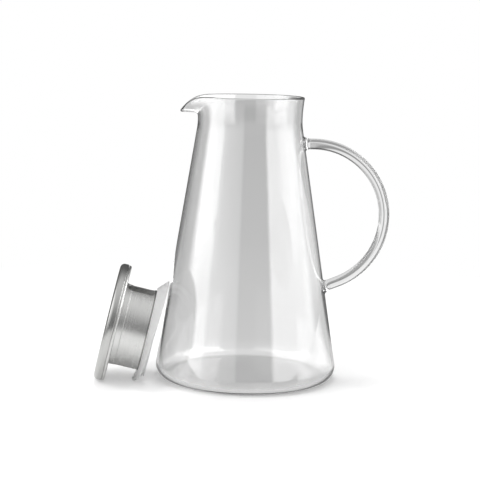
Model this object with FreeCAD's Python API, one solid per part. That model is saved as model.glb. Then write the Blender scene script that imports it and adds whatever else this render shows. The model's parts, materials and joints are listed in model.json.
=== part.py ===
"""Conical glass pitcher with a pulled spout and a bent glass handle, and the steel strainer
lid with its silicone seal that lies on the table beside it.  Millimetres, +Z up.

The origin is the middle of the jug's flat base.  The spout points along -X and the handle
along +X.  The lid is drawn upright in a frame of its own and is then laid down on the table.
"""
import FreeCAD
import Part
import math
import os

from FreeCAD import Vector

# Jug, from the table to the rim
jug_height = 234.0
base_diameter = 150.0
base_corner_radius = 10.0
base_thickness = 2.7
inner_corner_radius = 7.8
wall = 2.2
neck_diameter = 86.0
neck_height = 5.0
neck_blend_radius = 45.0
neck_bore_height = 7.5
neck_bore_blend_radius = 45.0

# Collar above the neck: the flared rim and the spout pulled out of it
collar_height = 18.0
collar_rise = 5.0
rim_flare = 1.4
rim_flare_angle = 8.0
spout_reach = 12.0
spout_drop = 12.5
spout_tip_turn = 7.0
spout_lip_angle = 89.0
spout_floor_run = 12.4

# Handle: a bent solid glass rod on two weld pads
rod_diameter = 8.8
handle_below_rim = 38.0
handle_bend_radius = 59.3
lower_leg_slope = 22.0
lower_leg_length = 12.0
pad_length = 4.8
pad_diameter = 13.4

# Lid cap: a stamped shell rolled over the edge of its underside plate
cap_overhang = 4.4
cap_band_height = 6.9
cap_edge_radius = 3.6
cap_lower_edge_radius = 0.8
cap_sheet = 0.9
crimp_width = 1.4
crimp_fit = 0.1
groove_height = 0.3
plate_lip_step = 0.5
plate_lip_height = 2.1
plate_lip_upper_edge_radius = 0.3
plate_lip_lower_edge_radius = 1.5
plate_sheet = 1.0

# Strainer sleeve under the plate: a pour window on one side and holes on the other
sleeve_pour_gap = 7.3
sleeve_sheet = 0.8
sleeve_length = 28.6
foot_height = 4.8
foot_step = 0.4
bead_step = 1.4
bead_height = 1.0
window_width = 24.0
window_from_plate = 1.0
window_to_seal = 1.4
window_corner_radius = 3.0
hole_diameter = 2.2
hole_pitch = 4.0
hole_columns = 5
hole_rows = 7
hole_field_from_plate = 4.8

# Silicone seal: a hub that holds the sleeve's bead, and a thin flared fin
seal_running_gap = 0.08
hub_wall = 4.2
hub_top_wall = 3.0
hub_length = 5.9
hub_foot = 2.0
hub_edge_radius = 0.6
fin_root_step = 0.8
fin_thickness = 1.4
fin_interference = 2.3
fin_rise = 7.3
fin_lean = 5.6
fin_fold = 4.6
fin_squash = 0.4
fin_fold_sharpness = 12

# Where the lid lies: on its cap's edge and its folded fin, almost touching the jug
lid_gap = 0.4
lid_forward = 22.0
lid_yaw = 1.8
table_clearance = 0.1

# Sections taken round the collar and round the fin
collar_turns = 120
fin_turns = 48

ORIGIN = Vector(0, 0, 0)
UP = Vector(0, 0, 1)


def outline_edges(corners):
    """Straight edges through (r, z, fillet) corners, with a tangent arc at each filleted one."""
    count = len(corners)
    points = [Vector(r, 0, z) for r, z, fillet in corners]
    entries = []
    exits = []
    for i, (r, z, fillet) in enumerate(corners):
        if fillet == 0:
            entries.append(points[i])
            exits.append(points[i])
            continue
        back = (points[i - 1] - points[i]).normalize()
        ahead = (points[(i + 1) % count] - points[i]).normalize()
        cut = fillet / math.tan(back.getAngle(ahead) / 2)
        entries.append(points[i] + back * cut)
        exits.append(points[i] + ahead * cut)
    edges = []
    for i, (r, z, fillet) in enumerate(corners):
        if fillet > 0:
            chord_middle = (entries[i] + exits[i]) / 2
            inward = (chord_middle - points[i]).normalize()
            half_turn = inward.getAngle(entries[i] - points[i])
            arc_middle = points[i] + inward * fillet * (1 / math.sin(half_turn) - 1)
            edges.append(Part.Arc(entries[i], arc_middle, exits[i]).toShape())
        following = entries[(i + 1) % count]
        edges.append(Part.LineSegment(exits[i], following).toShape())
    return edges


def revolved(corners):
    """Solid of revolution about Z of a closed outline of (r, z, fillet) corners."""
    face = Part.Face(Part.Wire(outline_edges(corners)))
    return face.revolve(ORIGIN, UP, 360)


def cone_foot(corner_radius, widest_radius, corner_bottom, top_radius, top_height):
    """Where a cone that is tangent to a rounded bottom corner would meet the bottom plane.

    Returns the radius of that sharp corner and the cone's lean from the vertical, in radians.
    """
    centre_r = widest_radius - corner_radius
    centre_z = corner_bottom + corner_radius
    across = top_radius - centre_r
    along = top_height - centre_z
    lean = math.atan2(along, across) - math.acos(corner_radius / math.hypot(across, along))
    sharp_radius = centre_r + corner_radius * (1 + math.sin(lean)) / math.cos(lean)
    return sharp_radius, lean


neck_radius = neck_diameter / 2
rim_radius = neck_radius + rim_flare
bore_radius = neck_radius - wall
collar_bottom = jug_height - collar_height
neck_corner = collar_bottom - neck_height
bore_corner = collar_bottom - neck_bore_height
base_sharp_radius, cone_lean = cone_foot(
    base_corner_radius, base_diameter / 2, 0, neck_radius, neck_corner)
floor_sharp_radius, bore_lean = cone_foot(
    inner_corner_radius, base_diameter / 2 - wall, base_thickness, bore_radius, bore_corner)
neck_blend = min(neck_blend_radius, 0.9 * neck_height / math.tan(cone_lean / 2))
bore_blend = min(neck_bore_blend_radius, 0.5 * neck_bore_height / math.tan(bore_lean / 2))
bore_length = neck_bore_height - bore_blend * math.tan(bore_lean / 2)

OUTER_CORNERS = [
    (0, 0, 0),
    (base_sharp_radius, 0, base_corner_radius),
    (neck_radius, neck_corner, neck_blend),
    (neck_radius, collar_bottom, 0),
]
INNER_CORNERS = [
    (bore_radius, collar_bottom, 0),
    (bore_radius, bore_corner, bore_blend),
    (floor_sharp_radius, base_thickness, inner_corner_radius),
    (0, base_thickness, 0),
]


def cone_radius(height):
    """Outer radius of the jug's straight cone at a height."""
    return base_sharp_radius - height * math.tan(cone_lean)


def collar_section(azimuth):
    """Cubic curves, as (r, z) poles, of the collar's wall at an azimuth from the spout.

    They go up the outside, over the rounded rim and down the inside.  Seen from above, the
    spout's sides run straight along tangents of the rim circle and meet in a rounded tip.
    The rim drops with the cube of the distance along such a side.
    """
    tip_turn = math.radians(spout_tip_turn)
    tip_slope = math.acos(rim_radius / (rim_radius + spout_reach))
    turn = max(0.0, tip_slope + tip_turn - math.hypot(azimuth, tip_turn))
    along_side = math.tan(turn) / math.tan(tip_slope)
    lean = math.radians(rim_flare_angle + (spout_lip_angle - rim_flare_angle) * along_side ** 2)
    ahead = Vector(math.sin(lean), 0, math.cos(lean))
    inward = Vector(-math.cos(lean), 0, math.sin(lean))
    run = collar_rise + (spout_floor_run - collar_rise) * along_side
    foot = Vector(neck_radius, 0, collar_bottom)
    bore_foot = Vector(bore_radius, 0, collar_bottom)
    end = Vector(rim_radius / math.cos(turn), 0,
                 jug_height - wall / 2 - spout_drop * along_side ** 3)
    bore_end = end + inward * wall
    bead = ahead * (wall * 2 / 3)
    outside = [foot, foot + UP * collar_rise, end - ahead * run, end]
    rim = [end, end + bead, bore_end + bead, bore_end]
    inside = [bore_end, bore_end - ahead * run, bore_foot + UP * (collar_rise + wall), bore_foot]
    return outside, rim, inside


def collar_face(strips):
    """Smooth closed band through cubic strips that stand evenly spaced round the jug."""
    columns = []
    for pole_ring in zip(*strips):
        ring = Part.BSplineCurve()
        ring.interpolate(list(pole_ring), PeriodicFlag=True, Parameters=list(range(collar_turns + 1)))
        columns.append(ring.getPoles())
    band = Part.BSplineSurface()
    band.buildFromPolesMultsKnots(
        [list(row) for row in zip(*columns)], ring.getMultiplicities(), [4, 4],
        ring.getKnots(), [0, 1], True, False, 3, 3)
    return band.toShape()


def make_jug():
    """Revolved body with an open top, sewn to the collar that carries the rim and the spout."""
    body = revolved(OUTER_CORNERS + INNER_CORNERS)
    faces = [face for face in body.Faces if face.BoundBox.ZMin < collar_bottom - 1e-6]
    sections = []
    for i in range(collar_turns):
        azimuth = 2 * math.pi * i / collar_turns - math.pi
        turn = FreeCAD.Rotation(UP, math.degrees(azimuth) + 180)
        sections.append([[turn.multVec(pole) for pole in strip] for strip in collar_section(azimuth)])
    faces += [collar_face(strips) for strips in zip(*sections)]
    shell = Part.makeShell(faces)
    shell.sewShape()
    return Part.makeSolid(Part.Shell(shell.Faces))


def make_jug_core():
    """The jug's outside as a filled solid, to cut the weld pads to the wall."""
    return revolved(OUTER_CORNERS + [(0, collar_bottom, 0)])


lower_slope = math.radians(lower_leg_slope)
upper_out = Vector(1, 0, 0)
lower_out = Vector(math.cos(lower_slope), 0, math.sin(lower_slope))
handle_top = jug_height - handle_below_rim
handle_bend_z = handle_top - handle_bend_radius
bend_end_z = handle_bend_z - handle_bend_radius * math.cos(lower_slope)
lower_root_z = bend_end_z - lower_leg_length * math.sin(lower_slope)
upper_root = Vector(cone_radius(handle_top), 0, handle_top)
lower_root = Vector(cone_radius(lower_root_z), 0, lower_root_z)
bend_end = lower_root + lower_out * lower_leg_length
handle_bend_x = bend_end.x - handle_bend_radius * math.sin(lower_slope)
bend_start = Vector(handle_bend_x, 0, handle_top)
bend_middle = Vector(handle_bend_x + handle_bend_radius, 0, handle_bend_z)


def make_handle():
    """Round rod swept along two straight legs and the bend between them."""
    first = upper_root + upper_out * pad_length
    last = lower_root + lower_out * pad_length
    path = Part.Wire([
        Part.LineSegment(first, bend_start).toShape(),
        Part.Arc(bend_start, bend_middle, bend_end).toShape(),
        Part.LineSegment(bend_end, last).toShape(),
    ])
    section = Part.Wire([Part.makeCircle(rod_diameter / 2, first, upper_out)])
    return path.makePipeShell([section], True, True)


def make_weld_pad(root, out, core):
    """Pad that flares from the rod's size to its own on the wall, cut to the cone."""
    buried = pad_diameter / 2
    flare = (pad_diameter - rod_diameter) / 2
    neck = Vector(rod_diameter / 2, 0, pad_length)
    knee = Vector(rod_diameter / 2 + flare * (1 - math.sqrt(0.5)), 0,
                  pad_length * (1 - math.sqrt(0.5)))
    skirt = Vector(pad_diameter / 2, 0, 0)
    profile = Part.Wire([
        Part.Arc(neck, knee, skirt).toShape(),
        Part.makePolygon([skirt, Vector(skirt.x, 0, -buried), Vector(0, 0, -buried),
                          Vector(0, 0, pad_length), neck]),
    ])
    pad = Part.Face(profile).revolve(ORIGIN, UP, 360)
    pad.Placement = FreeCAD.Placement(root, FreeCAD.Rotation(UP, out))
    return pad.cut(core)


cap_radius = rim_radius + cap_overhang
plate_lip_radius = cap_radius - plate_lip_step
crimp_radius = cap_radius - cap_sheet - crimp_width
crimp_top = cap_band_height - cap_sheet
plate_bottom = cap_band_height + groove_height + plate_lip_height
sleeve_radius = bore_radius - sleeve_pour_gap
sleeve_inner_radius = sleeve_radius - sleeve_sheet
sleeve_end = plate_bottom + sleeve_length
bead_top = sleeve_end - bead_height
hub_radius = sleeve_radius + hub_wall
hub_top_radius = sleeve_radius + hub_top_wall
hub_bottom = sleeve_end + hub_foot
hub_top = hub_bottom - hub_length
fin_root_radius = hub_top_radius - fin_root_step
fin_free_radius = bore_radius + fin_interference


def make_lid_cap():
    """Stamped shell with a rounded edge, its skirt rolled in under the plate's flange."""
    return revolved([
        (0, 0, 0),
        (cap_radius, 0, cap_edge_radius),
        (cap_radius, cap_band_height, cap_lower_edge_radius),
        (crimp_radius, cap_band_height, 0),
        (crimp_radius, crimp_top, 0),
        (cap_radius - cap_sheet, crimp_top, 0),
        (cap_radius - cap_sheet, cap_sheet, cap_edge_radius - cap_sheet),
        (0, cap_sheet, 0),
    ])


def make_underplate():
    """Pan with a flange that sits on the rolled skirt and a lip that shows below it."""
    waist_radius = crimp_radius - crimp_fit
    pan_radius = waist_radius - plate_sheet
    flange_radius = cap_radius - cap_sheet - crimp_fit
    lip_top = cap_band_height + groove_height
    flange_top = crimp_top - plate_sheet
    pan_floor = plate_bottom - plate_sheet
    return revolved([
        (0, pan_floor, 0),
        (pan_radius, pan_floor, 0),
        (pan_radius, flange_top, 0),
        (flange_radius, flange_top, 0),
        (flange_radius, crimp_top, 0),
        (waist_radius, crimp_top, 0),
        (waist_radius, lip_top, 0),
        (plate_lip_radius, lip_top, plate_lip_upper_edge_radius),
        (plate_lip_radius, plate_bottom, plate_lip_lower_edge_radius),
        (0, plate_bottom, 0),
    ])


def make_window_cutter():
    """Round-cornered block through the sleeve's +X side."""
    low = plate_bottom + window_from_plate
    high = hub_top - window_to_seal
    block = Part.makeBox(sleeve_radius, window_width, high - low,
                         Vector(sleeve_radius / 2, -window_width / 2, low))
    corners = [edge for edge in block.Edges if edge.BoundBox.XLength > sleeve_radius / 2]
    return block.makeFillet(window_corner_radius, corners)


def make_strainer_holes():
    """Drills for the strainer, in rows round the sleeve's -X side, opposite the window."""
    drills = []
    row_turn = hole_pitch / sleeve_radius
    for row in range(hole_rows):
        azimuth = math.pi + (row - (hole_rows - 1) / 2) * row_turn
        out = Vector(math.cos(azimuth), math.sin(azimuth), 0)
        for column in range(hole_columns):
            height = plate_bottom + hole_field_from_plate + column * hole_pitch
            start = out * (sleeve_radius / 2) + UP * height
            drills.append(Part.makeCylinder(hole_diameter / 2, sleeve_radius, start, out))
    return Part.makeCompound(drills)


def make_sleeve():
    """Thin tube with a stepped foot, a rolled bead at its end, the window and the holes."""
    foot_top = plate_bottom + foot_height
    foot_radius = sleeve_radius + foot_step
    bead_radius = sleeve_radius + bead_step
    tube = revolved([
        (sleeve_inner_radius, plate_bottom, 0),
        (foot_radius, plate_bottom, 0),
        (foot_radius, foot_top - foot_step, 0),
        (sleeve_radius, foot_top, 0),
        (sleeve_radius, bead_top, 0),
        (bead_radius, bead_top, 0),
        (bead_radius, sleeve_end, 0),
        (sleeve_inner_radius, sleeve_end, 0),
    ])
    return tube.cut(make_window_cutter()).cut(make_strainer_holes())


def fin_edge(azimuth):
    """(r, w) of the fin's free edge, on its cap side, at an azimuth from the lid's upper side.

    The soft fin leans with the lid's weight, and folds back to the cap where it meets the table.
    """
    low = (1 - math.cos(azimuth)) / 2
    fold = low ** fin_fold_sharpness
    radius = fin_free_radius - fin_squash * fold
    return radius, hub_top + fin_rise - fin_lean * low - fin_fold * fold


def closed_curve(points):
    """Smooth closed edge through points."""
    curve = Part.BSplineCurve()
    curve.interpolate(points, PeriodicFlag=True)
    return curve.toShape()


def make_fin():
    """Thin skin between a circle in the hub and the fin's bent free edge."""
    roots = []
    edges = []
    for i in range(fin_turns):
        azimuth = 2 * math.pi * i / fin_turns
        out = Vector(math.cos(azimuth), math.sin(azimuth), 0)
        radius, height = fin_edge(azimuth)
        roots.append(out * fin_root_radius + UP * hub_top)
        edges.append(out * radius + UP * height)
    thick = UP * fin_thickness
    rings = [
        closed_curve(roots),
        closed_curve(edges),
        closed_curve([point + thick for point in edges]),
        closed_curve([point + thick for point in roots]),
    ]
    faces = [Part.makeRuledSurface(rings[i - 1], rings[i]) for i in range(len(rings))]
    shell = Part.makeShell([face for skin in faces for face in skin.Faces])
    shell.sewShape()
    return Part.makeSolid(Part.Shell(shell.Faces))


def make_seal():
    """Hub ring with an inner groove for the sleeve's bead, fused with the fin."""
    bore = sleeve_radius + seal_running_gap
    groove = sleeve_radius + bead_step + seal_running_gap
    groove_top = bead_top - seal_running_gap
    groove_bottom = sleeve_end + seal_running_gap
    hub = revolved([
        (bore, hub_top, 0),
        (hub_top_radius, hub_top, hub_edge_radius),
        (hub_radius, hub_bottom, hub_edge_radius),
        (sleeve_radius, hub_bottom, 0),
        (sleeve_radius, groove_bottom, 0),
        (groove, groove_bottom, 0),
        (groove, groove_top, 0),
        (bore, groove_top, 0),
    ])
    return hub.fuse(make_fin()).removeSplitter()


def lying_tilt():
    """How far the lid leans when its cap's edge and its pressed fin both touch the table."""
    pressed_radius, pressed_height = fin_edge(math.pi)
    drop = cap_radius - cap_lower_edge_radius - pressed_radius
    run = pressed_height + fin_thickness - (cap_band_height - cap_lower_edge_radius)
    return math.atan2(drop, run) + math.asin(cap_lower_edge_radius / math.hypot(drop, run))


def lying_placement():
    """Turns the lid's axis towards the jug, its window up, and slides it up to the wall."""
    tilt = lying_tilt()
    yaw = math.radians(lid_yaw)
    ahead = Vector(math.cos(tilt) * math.cos(yaw), math.cos(tilt) * math.sin(yaw), -math.sin(tilt))
    side = Vector(math.sin(yaw), -math.cos(yaw), 0)
    top = side.cross(ahead)
    edge_height = cap_band_height - cap_lower_edge_radius
    height = (edge_height * math.sin(tilt) + (cap_radius - cap_lower_edge_radius) * math.cos(tilt)
              + cap_lower_edge_radius + table_clearance)
    reach = []
    for i in range(fin_turns):
        azimuth = 2 * math.pi * i / fin_turns
        radius, lift = fin_edge(azimuth)
        for along in (lift, lift + fin_thickness):
            spot = ahead * along + top * (radius * math.cos(azimuth)) - side * (radius * math.sin(azimuth))
            depth = spot.y - lid_forward
            wall_radius = cone_radius(height + spot.z)
            wall_reach = math.sqrt(max(0.0, wall_radius ** 2 - depth ** 2))
            reach.append(-wall_reach - lid_gap - spot.x)
    turn = FreeCAD.Rotation(top, ahead.cross(top), ahead, "ZXY")
    return FreeCAD.Placement(Vector(min(reach), -lid_forward, height), turn)


def build():
    """Every piece by its name, in its place, and the placement of the lying lid."""
    core = make_jug_core()
    pieces = {
        "glass_jug": make_jug(),
        "glass_handle": make_handle(),
        "handle_weld_upper": make_weld_pad(upper_root, upper_out, core),
        "handle_weld_lower": make_weld_pad(lower_root, lower_out, core),
    }
    lying = lying_placement()
    lid_pieces = {
        "lid_cap": make_lid_cap(),
        "lid_underplate": make_underplate(),
        "strainer_sleeve": make_sleeve(),
        "silicone_seal": make_seal(),
    }
    for name, shape in lid_pieces.items():
        shape.Placement = lying
        pieces[name] = shape
    return pieces, lying


os.makedirs("parts", exist_ok=True)
nodes, lid_place = build()
for name, shape in nodes.items():
    shape.exportStep("parts/" + name + ".step")
    print(name, shape.isValid(), len(shape.Solids), "volume", round(shape.Volume, 1))
lid_axis = lid_place.Rotation.multVec(UP)
print("neck bore radius", round(bore_radius, 3), "length", round(bore_length, 3))
print("lid centre", [round(value, 3) for value in lid_place.Base])
print("lid axis", [round(value, 6) for value in lid_axis])
print("seal to jug", round(nodes["silicone_seal"].distToShape(nodes["glass_jug"])[0], 3))
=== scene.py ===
# %% [markdown]
# # A glass pitcher and its strainer lid
# A tall conical pitcher of clear glass stands on a white table. Its spout is pulled out of the rim on the
# left and its handle, a bent glass rod, is melted to the wall on the right. The steel strainer lid lies
# on its side beside it, resting on the edge of its cap and on its soft silicone seal.
#
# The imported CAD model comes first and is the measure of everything: each piece made below stands for one
# CAD node, fills the same space and rides on the same body.

# %% Load the frame
import json
import math

import bmesh
import bpy
from mathutils import Matrix, Vector


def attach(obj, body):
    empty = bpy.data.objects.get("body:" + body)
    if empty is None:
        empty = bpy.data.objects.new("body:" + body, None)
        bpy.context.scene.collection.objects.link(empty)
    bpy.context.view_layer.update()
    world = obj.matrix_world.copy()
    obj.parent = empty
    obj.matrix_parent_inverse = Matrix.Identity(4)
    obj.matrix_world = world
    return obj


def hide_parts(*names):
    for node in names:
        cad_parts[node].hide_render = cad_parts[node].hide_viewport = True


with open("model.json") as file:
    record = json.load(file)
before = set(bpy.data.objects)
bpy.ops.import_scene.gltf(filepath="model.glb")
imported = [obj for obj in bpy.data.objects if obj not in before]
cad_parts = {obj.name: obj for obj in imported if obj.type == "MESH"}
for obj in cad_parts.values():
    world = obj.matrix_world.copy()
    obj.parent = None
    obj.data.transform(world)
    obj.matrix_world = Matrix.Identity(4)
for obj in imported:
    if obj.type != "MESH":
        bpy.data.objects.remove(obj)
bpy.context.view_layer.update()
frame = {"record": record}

scene = bpy.context.scene
MM = 0.001

# %% [markdown]
# ## The camera
# A long lens far from the object keeps the cone's sides straight and its ellipses flat, as in a catalogue
# picture. The lens, the distance and the small roll were worked out from the ellipses of the base, the
# neck and the rim. A camera looks along its own -Z, so it is turned up by a quarter turn less the pitch.

# %% Camera
camera_place = (-0.006385, -1.2150, 0.2927)
camera_pitch = 0.1453
camera_roll = 0.0200
camera_data = bpy.data.cameras.new("catalogue_camera")
camera_data.sensor_width = 36.0
camera_data.lens = 110.77
camera = bpy.data.objects.new("catalogue_camera", camera_data)
camera.matrix_world = (Matrix.Translation(camera_place)
                       @ Matrix.Rotation(math.pi / 2 - camera_pitch, 4, "X")
                       @ Matrix.Rotation(camera_roll, 4, "Z"))
scene.collection.objects.link(camera)
scene.camera = camera
print("camera lens", camera_data.lens, "mm, pitch", round(math.degrees(camera_pitch), 2), "degrees")

# %% [markdown]
# ## Sections and spinning
# The jug's body and every lid piece are round, so each one is a section that is spun about an axis. A
# section is a list of corners (radius, height, fillet) in millimetres. The fillets are cut here as short
# arcs, because a rounded edge is what catches the light on glass and on stamped steel. Spinning by hand,
# in place of a Screw modifier, keeps one vertex at each pole and lets a section change as it goes round.

# %% Rounded sections
# Where two runs are nearly in line, an arc would shrink to a point. A soft curve of this reach stands in
# for it, so a section that changes as it goes round keeps its number of points.
SHORT_REACH = 0.06


def rounded_section(corners, arc_steps=8):
    """Points, in metres, of a closed outline of (r, z, fillet) corners, with an arc at each fillet."""
    spots = [Vector((r, z)) for r, z, _ in corners]
    outline = []
    for i, (_, _, fillet) in enumerate(corners):
        if fillet == 0:
            outline.append(spots[i])
            continue
        back = (spots[i - 1] - spots[i]).normalized()
        ahead = (spots[(i + 1) % len(spots)] - spots[i]).normalized()
        half = back.angle(ahead) / 2
        reach = fillet / math.tan(half)
        if reach < SHORT_REACH:
            for step in range(arc_steps + 1):
                share = step / arc_steps
                outline.append(spots[i] + (back * (1 - share) ** 2 + ahead * share ** 2) * SHORT_REACH)
            continue
        middle = spots[i] + (back + ahead).normalized() * (fillet / math.sin(half))
        first = spots[i] + back * reach - middle
        last = spots[i] + ahead * reach - middle
        sweep = math.atan2(first.x * last.y - first.y * last.x, first.dot(last))
        for step in range(arc_steps + 1):
            outline.append(middle + Matrix.Rotation(sweep * step / arc_steps, 2) @ first)
    return [(point.x * MM, point.y * MM) for point in outline]


# %% Spun meshes and pieces
ON_AXIS = 1e-7


def spun_mesh(name, count, turns, spot, poles=()):
    """Closed mesh of count rows spun round an axis. spot(row, angle) gives a point; a pole row gets one."""
    made = bmesh.new()
    rings = []
    for k in range(count):
        angles = [0.0] if k in poles else [2 * math.pi * i / turns for i in range(turns)]
        rings.append([made.verts.new(spot(k, angle)) for angle in angles])
    for k in range(count):
        low, high = rings[k - 1], rings[k]
        if len(low) == 1 and len(high) == 1:
            continue
        for i in range(turns):
            j = (i + 1) % turns
            corners = [low[i % len(low)], low[j % len(low)], high[j % len(high)], high[i % len(high)]]
            made.faces.new(list(dict.fromkeys(corners)))
    bmesh.ops.recalc_face_normals(made, faces=made.faces)
    mesh = bpy.data.meshes.new(name)
    made.to_mesh(mesh)
    made.free()
    return mesh


def spun_section(name, corners, turns, arc_steps=8):
    """Mesh spun about Z from a closed outline of corners; an outline that meets the axis is closed there."""
    outline = rounded_section(corners, arc_steps)
    poles = [k for k, (r, _) in enumerate(outline) if r < ON_AXIS]

    def spot(k, angle):
        r, z = outline[k]
        return r * math.cos(angle), r * math.sin(angle), z

    return spun_mesh(name, len(outline), turns, spot, poles)


def as_piece(name, mesh, finish, crease=32):
    """Object for a finished mesh, smooth but for edges sharper than the crease, in degrees."""
    mesh.name = name
    mesh.materials.clear()
    mesh.materials.append(finish)
    mesh.shade_smooth()
    mesh.set_sharp_from_angle(angle=math.radians(crease))
    piece = bpy.data.objects.new(name, mesh)
    scene.collection.objects.link(piece)
    print(name + ":", len(mesh.vertices), "vertices,", len(mesh.polygons), "faces")
    return piece


# %% [markdown]
# ## Node trees that make shapes
# Three shapes follow a rule or a path: the pulled spout, the bent handle and the drilled strainer. Each
# is a Geometry Nodes tree, so its sizes are named inputs that can be changed and tried again. The helpers
# below start a tree, add nodes to it, close it with Realize Instances and Set Material, and turn its
# result into a plain mesh.

# %% Start a tree and add nodes
def new_tree(name, *inputs):
    """Geometry tree with named inputs; gives the tree and its input sockets by name."""
    tree = bpy.data.node_groups.new(name, "GeometryNodeTree")
    tree.interface.new_socket("Geometry", in_out="INPUT", socket_type="NodeSocketGeometry")
    for label in inputs:
        kind = "NodeSocketInt" if label.startswith("Number") else "NodeSocketFloat"
        tree.interface.new_socket(label, in_out="INPUT", socket_type=kind)
    tree.interface.new_socket("Finish", in_out="INPUT", socket_type="NodeSocketMaterial")
    tree.interface.new_socket("Geometry", in_out="OUTPUT", socket_type="NodeSocketGeometry")
    entry = tree.nodes.new("NodeGroupInput")
    return tree, {socket.name: socket for socket in entry.outputs if socket.name}


def first_out(value):
    """A node's first output, or the value itself where it is no node."""
    return value.outputs[0] if isinstance(value, bpy.types.Node) else value


def add_node(tree, kind, inputs=(), **settings):
    """Adds a node. inputs pairs a socket's name or number with a node, a socket or a value."""
    made = tree.nodes.new(kind)
    for key, setting in settings.items():
        setattr(made, key, setting)
    for key, value in dict(inputs).items():
        value = first_out(value)
        if isinstance(value, bpy.types.NodeSocket):
            tree.links.new(value, made.inputs[key])
        else:
            made.inputs[key].default_value = value
    return made


def calc(tree, operation, *values):
    """Output of one Math node."""
    return add_node(tree, "ShaderNodeMath", enumerate(values), operation=operation).outputs[0]


def joined(tree, *parts):
    """Several geometries as one."""
    made = tree.nodes.new("GeometryNodeJoinGeometry")
    for part in parts:
        tree.links.new(first_out(part), made.inputs[0])
    return made


# %% Close a tree and run it
def close_tree(tree, geometry, finish):
    """Ends a tree in Realize Instances and Set Material."""
    real = add_node(tree, "GeometryNodeRealizeInstances", {"Geometry": geometry})
    painted = add_node(tree, "GeometryNodeSetMaterial", {"Geometry": real, "Material": finish})
    add_node(tree, "NodeGroupOutput", {"Geometry": painted})
    print(tree.name + ":", len(tree.nodes), "nodes")


def run_tree(tree, start_mesh, sizes):
    """Plain mesh that a tree makes of a start mesh, with the tree's inputs set by identifier."""
    carrier = bpy.data.objects.new("carrier", start_mesh)
    scene.collection.objects.link(carrier)
    modifier = carrier.modifiers.new("shape", "NODES")
    modifier.node_group = tree
    for socket in tree.interface.items_tree:
        if socket.in_out == "INPUT" and socket.name in sizes:
            modifier[socket.identifier] = sizes[socket.name]
    depsgraph = bpy.context.evaluated_depsgraph_get()
    mesh = bpy.data.meshes.new_from_object(carrier.evaluated_get(depsgraph), depsgraph=depsgraph)
    carrier.modifiers.remove(modifier)
    bpy.data.objects.remove(carrier)
    return mesh


# %% [markdown]
# ## Clear glass
# Heat-proof glass has almost no colour of its own when a wall is two millimetres thick: what is seen is
# the pale backdrop behind it, bent at the edges, and bright panels mirrored in it as upright bands. A
# Glass shader would draw that too; the Principled shader is used because it is the one that other
# programs can read. The surface is fire-polished, so it has no roughness, but blown glass is never quite
# true: a long, faint ripple is added as a bump.

# %% Helpers for finishes
def new_finish(name, constants):
    """Material with one Principled shader, whose constant inputs are given by name."""
    finish = bpy.data.materials.new(name)
    finish.use_nodes = True
    tree = finish.node_tree
    tree.nodes.clear()
    shader = add_node(tree, "ShaderNodeBsdfPrincipled", constants)
    add_node(tree, "ShaderNodeOutputMaterial", {"Surface": shader})
    return finish, tree, shader


def stretched_noise(tree, vector, stretch, detail):
    """Noise on a vector that is stretched first."""
    mapping = add_node(tree, "ShaderNodeMapping", {"Vector": vector, "Scale": stretch})
    noise = add_node(tree, "ShaderNodeTexNoise",
                     {"Vector": mapping.outputs["Vector"], "Scale": 1.0, "Detail": detail})
    return noise.outputs["Fac"]


def between(tree, value, low, high):
    """Noise value mapped from its usual span to low and high."""
    span = add_node(tree, "ShaderNodeMapRange", {"Value": value, "From Min": 0.3, "From Max": 0.7,
                                                 "To Min": low, "To Max": high})
    return span.outputs["Result"]


def bumped(tree, shader, height, distance, strength):
    """Sends a height to the shader's normal through a Bump node."""
    bump = add_node(tree, "ShaderNodeBump", {"Height": height, "Distance": distance, "Strength": strength})
    tree.links.new(bump.outputs["Normal"], shader.inputs["Normal"])


# %% Glass finish
clear_glass, tree, shader = new_finish("clear_glass", {
    "Base Color": (0.98, 0.98, 0.98, 1.0), "Transmission Weight": 1.0, "Roughness": 0.0, "IOR": 1.47})
place = tree.nodes.new("ShaderNodeTexCoord").outputs["Object"]
ripple = stretched_noise(tree, place, stretch=(34, 34, 5), detail=1.0)
bumped(tree, shader, ripple, distance=0.4 * MM, strength=0.1)
print("clear glass: index", round(shader.inputs["IOR"].default_value, 2))

# %% [markdown]
# ## The jug
# The body is spun from its section: a thin floor, a straight cone, a short upright neck and a slightly
# flared rim with a rounded edge. The section's upper part is three cubic curves: up the outside, over the
# rim and down the inside. Their poles hang on the rim, so each vertex carries four weights that say how
# far it follows the rim's end, the run below it, the bead on top and the wall's thickness, besides a
# fixed radius and height.

# %% Jug sizes
jug_height = 234.0
base_radius = 75.0
base_corner = 10.0
floor_height = 2.7
floor_corner = 7.8
wall = 2.2
neck_radius = 43.0
neck_corner_height = 211.0
bore_radius = neck_radius - wall
bore_corner_height = 208.5
shoulder_bend = 45.0
collar_bottom = 216.0
collar_rise = 5.0
rim_radius = 44.4
rim_height = jug_height - wall / 2
rim_flare = math.radians(8.0)
BEAD_SHARE = 2 / 3
print("jug:", jug_height, "mm high on a base of", 2 * base_radius, "mm, wall", wall, "mm")

# %% Jug section
SIDE_STEPS = 18
RIM_STEPS = 10
NO_RIM = (0, 0, 0, 0)


def cone_foot(corner_radius, widest_radius, bottom, top_radius, top_height):
    """Radius where a cone, tangent to a rounded corner, would meet the bottom, and the cone's lean."""
    across = top_radius - widest_radius + corner_radius
    along = top_height - bottom - corner_radius
    lean = math.atan2(along, across) - math.acos(corner_radius / math.hypot(across, along))
    return widest_radius - corner_radius + corner_radius * (1 + math.sin(lean)) / math.cos(lean), lean


def cubic(t):
    """The four weights of a cubic curve."""
    return (1 - t) ** 3, 3 * t * (1 - t) ** 2, 3 * t * t * (1 - t), t ** 3


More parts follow.
